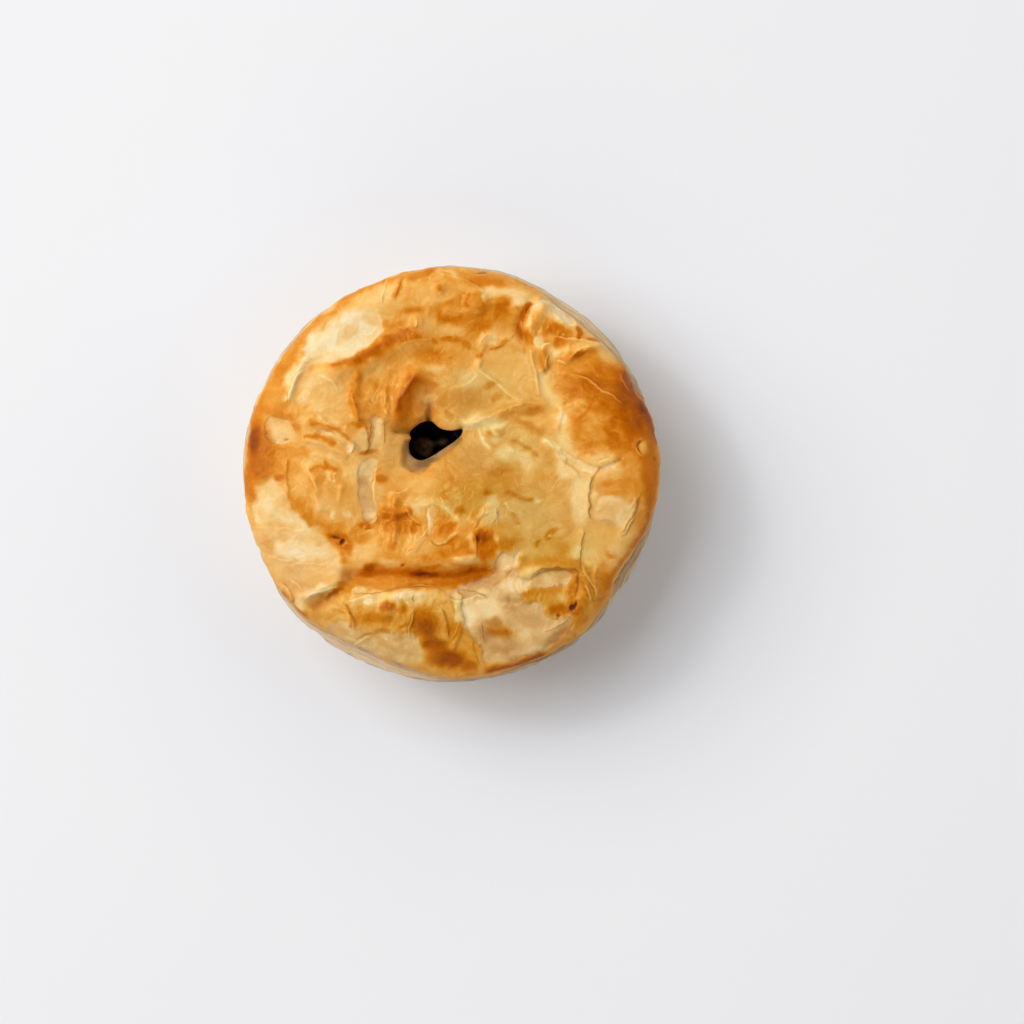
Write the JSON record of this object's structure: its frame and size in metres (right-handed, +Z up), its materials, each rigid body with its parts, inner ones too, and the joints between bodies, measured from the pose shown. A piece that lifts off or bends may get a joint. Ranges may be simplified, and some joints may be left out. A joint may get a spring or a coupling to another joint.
{
  "type": "party pie",
  "caption": "Small round hand-held savoury pie: a tapered shortcrust case, a dark filling and a glazed, blistered puff-pastry lid with an open steam vent.",
  "frame": {"origin": "middle of the flat base, on the surface that the pie stands on", "axes": "+Z up through the lid; +X to the right and +Y away from the viewer as the pie is seen from above in the picture"},
  "size_m": [0.0654, 0.0654, 0.0276],
  "materials": {
    "case_pastry": "pale baked shortcrust, matt and floury with faint browning",
    "filling_gravy": "nearly black brown gravy with lumps, wet and glossy",
    "lid_pastry": "egg-washed puff pastry, cream to golden and brown, satin to glossy"
  },
  "bodies": {
    "root": {"pastry_case": "case_pastry", "filling": "filling_gravy", "pastry_lid": "lid_pastry"}
  },
  "joints": []
}
